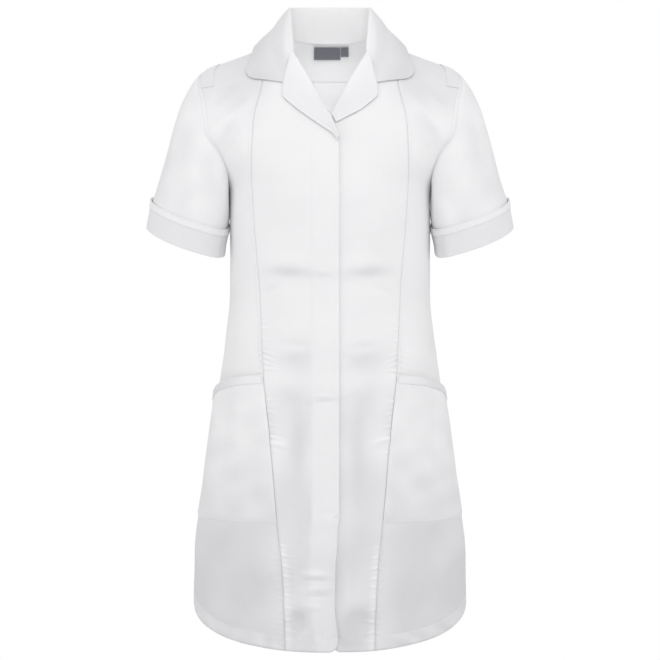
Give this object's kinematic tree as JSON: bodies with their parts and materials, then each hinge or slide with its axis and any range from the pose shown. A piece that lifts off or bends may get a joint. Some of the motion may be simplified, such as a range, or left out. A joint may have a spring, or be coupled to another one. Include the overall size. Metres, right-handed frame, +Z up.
{
  "type": "maternity tunic",
  "caption": "White short-sleeved maternity tunic in its worn shape with nobody in it: convertible collar and revers, princess seams, concealed front zip, turned-up cuffs and banded hip pockets",
  "frame": {"origin": "on the middle plane between the shoulders, level with the point where the shoulder seam meets the collar, where a wearer's shoulders hold the tunic up", "axes": "+Z up towards the neck, -Y to the front, +X towards the wearer's left"},
  "size_m": [0.5512, 0.2755, 0.9567],
  "materials": {
    "cloth": "white poly-cotton twill, matt",
    "trim": "white poly-cotton band, matt",
    "label": "bare grey woven label",
    "zip_tape": "white woven zip tape",
    "zip_coil": "white moulded coil"
  },
  "bodies": {
    "root": {"back": "cloth", "back_neck_facing": "cloth", "collar": "cloth", "cuff_left": "cloth", "cuff_right": "cloth", "cuff_trim_left": "trim", "cuff_trim_right": "trim", "fly_facing": "cloth", "front_centre_left": "cloth", "front_centre_right": "cloth", "front_side_left": "cloth", "front_side_right": "cloth", "neck_label": "label", "pocket_left": "cloth", "pocket_right": "cloth", "pocket_trim_left": "trim", "pocket_trim_right": "trim", "revers_left": "cloth", "revers_right": "cloth", "shoulder_loop_left": "trim", "shoulder_loop_right": "trim", "size_tab": "label", "sleeve_left": "cloth", "sleeve_right": "cloth", "zip_chain": "zip_coil", "zip_slider": "zip_coil", "zip_tape": "zip_tape"}
  },
  "joints": []
}
